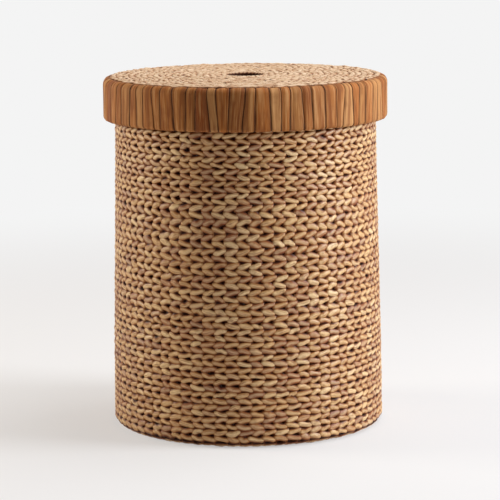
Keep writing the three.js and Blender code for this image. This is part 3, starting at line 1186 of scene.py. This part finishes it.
@dataclass
class WireFrames:
    """The bent and welded wires that carry the weave, which keep the frame's own shapes."""

    wires: tuple[str, ...] = (
        "wire_cage", "rim_hoop", "base_wire_wheel",
        "lid_top_hoop", "lid_skirt_frame", "lid_wire_wheel",
    )

    def dress(self, nodes: dict[str, bpy.types.Object], material: Material) -> None:
        """Give every wire its finish.

        Args:
            nodes: The frame's objects by the name of the node.
            material: The finish.
        """
        for name in self.wires:
            nodes[name].data.materials.clear()
            nodes[name].data.materials.append(material)
            LOG.info("%s: dressed", name)


@dataclass(frozen=True)
class Lamp:
    """One soft square lamp: its place, aim and side in metres, and its power in watts."""

    name: str
    place: Triple
    aim: Triple
    size: float
    power: float
    tint: Triple = (1.0, 1.0, 1.0)

    def hang(self) -> None:
        """Hang the lamp in the scene."""
        data = bpy.data.lights.new(self.name, "AREA")
        data.shape = "SQUARE"
        data.size = self.size
        data.energy = self.power
        data.color = self.tint
        made = placed(self.name, data)
        made.location = self.place
        away = Vector(self.aim) - Vector(self.place)
        made.rotation_euler = away.to_track_quat("-Z", "Y").to_euler()


@dataclass
class Studio:
    """Camera, lamps, the air's even light and the floor."""

    distance: float = 3800.0
    camera_height: float = 893.6
    pitch: float = 9.24
    turn: float = 1.33
    roll: float = 0.6
    aim_right: float = 5.05
    sensor: float = 36.0
    lens: float = 171.8
    nearest: float = 50.0
    farthest: float = 120000.0
    floor_reach: float = 40000.0
    lamps: tuple[Lamp, ...] = (
        Lamp("key_lamp", (3.0, -0.5, 1.35), (0.0, 0.0, 0.3), 1.3, 108.0, (0.96, 1.0, 1.05)),
        Lamp("side_lamp", (-3.0, 0.35, 1.25), (0.0, 0.0, 0.3), 1.3, 66.0, (1.06, 0.96, 0.78)),
        Lamp("top_lamp", (1.1, 0.3, 3.1), (0.0, 0.0, 0.4), 2.2, 66.0),
    )
    air_light: Colour = (0.10, 0.08, 0.064, 1.0)
    air_look: Colour = shade(244, 244, 244)

    def camera(self) -> None:
        """Place the camera as the photographer stood."""
        data = bpy.data.cameras.new("camera")
        data.sensor_width = self.sensor
        data.lens = self.lens
        data.clip_start = self.nearest * METRE
        data.clip_end = self.farthest * METRE
        made = placed("camera", data)
        turn = Matrix.Rotation(math.radians(self.turn), 4, "Z")
        place = Vector((self.aim_right, -self.distance, self.camera_height)) * METRE
        tilt = Matrix.Rotation(math.radians(90 - self.pitch), 4, "X")
        roll = Matrix.Rotation(math.radians(-self.roll), 4, "Z")
        made.matrix_world = turn @ Matrix.Translation(place) @ tilt @ roll
        bpy.context.scene.camera = made

    def lights(self) -> None:
        """Hang the lamps and set the even light all round."""
        for lamp in self.lamps:
            lamp.hang()
        bench = Bench(bpy.data.worlds.new("studio_air"))
        air = bench.mix(bench.looked_at(), self.air_light, self.air_look)
        glow = bench.add("ShaderNodeBackground", None, {"Color": air}).outputs[0]
        bench.add("ShaderNodeOutputWorld", None, {0: glow})
        bpy.context.scene.world = bench.owner

    def floor(self, material: Material) -> None:
        """Lay the floor, which fills the picture behind the hamper too.

        Args:
            material: Its finish.
        """
        reach = self.floor_reach * METRE
        mesh = bpy.data.meshes.new("studio_floor")
        corners = [(-reach, -reach, 0), (reach, -reach, 0), (reach, reach, 0), (-reach, reach, 0)]
        mesh.from_pydata(corners, [], [(0, 1, 2, 3)])
        mesh.materials.append(material)
        made = placed("studio_floor", mesh)


def main() -> None:
    """Build the hamper round the frame, then set up the studio."""
    logging.basicConfig(level=logging.INFO, format="%(message)s")
    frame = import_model()

    wall_finish = StrandFinish("twisted_leaf_wall", WALL_TONES).material()
    lid_finish = StrandFinish(
        "twisted_leaf_lid", LID_TONES, roughness=0.62, gloss=0.25,
        # The lid's painted highlight on crowns and painted shade toward crossings.
        pale=shade(240, 218, 192), stain=shade(170, 112, 66), hollow_painted_shade=shade(140, 78, 32),
        crown_painted_highlight=Cover(0.30, 0.0, 0.34),
        hollow_shade_cover=Cover(0.04, 0.52, 0.8),
        crease_shade_cover=Cover(0.30, 0.95, 0.95),
    ).material()
    band_finish = StripFinish("flat_leaf_strips", BAND_TONES).material()
    wire_finish = WireFinish("dark_wire").material()

    WallWeave().build(wall_finish)
    RoundWeave(
        name="base_rings", role=Role(Body.BASKET, "base_strands", "base_weave"), seed=300,
        outer=200.0, inner=0.0, middle=12.3, half_thickness=5.0, row_count=20, faces_up=False,
    ).build(wall_finish)
    BoundRing(
        name="rim_border", role=Role(Body.BASKET, "border_strands", "rim_binding"), seed=700,
        radius=203.0, middle=540.7, half_width=6.8, half_height=6.0, turns=144,
    ).build(wall_finish)
    RoundWeave(
        name="lid_rings", role=Role(Body.LID, "lid_strands", "lid_top_weave"), seed=400,
        outer=215.2, inner=38.6, middle=554.0, half_thickness=6.7, row_count=18, faces_up=True,
    ).build(lid_finish)
    LidBand().build(band_finish)
    BoundRing(
        name="finger_hole_strips", role=Role(Body.LID, "hole_strips", "finger_hole_binding"),
        seed=800, radius=33.1, middle=552.5, half_width=5.1, half_height=7.5, turns=30,
        throat_shade=1.0,
    ).build(lid_finish)
    WireFrames().dress(frame["nodes"], wire_finish)

    studio = Studio()
    studio.camera()
    studio.lights()
    studio.floor(StudioFinish("pale_floor").material())

    scene_view = bpy.context.scene.view_settings
    scene_view.view_transform = "Standard"


if __name__ == "__main__":
    main()
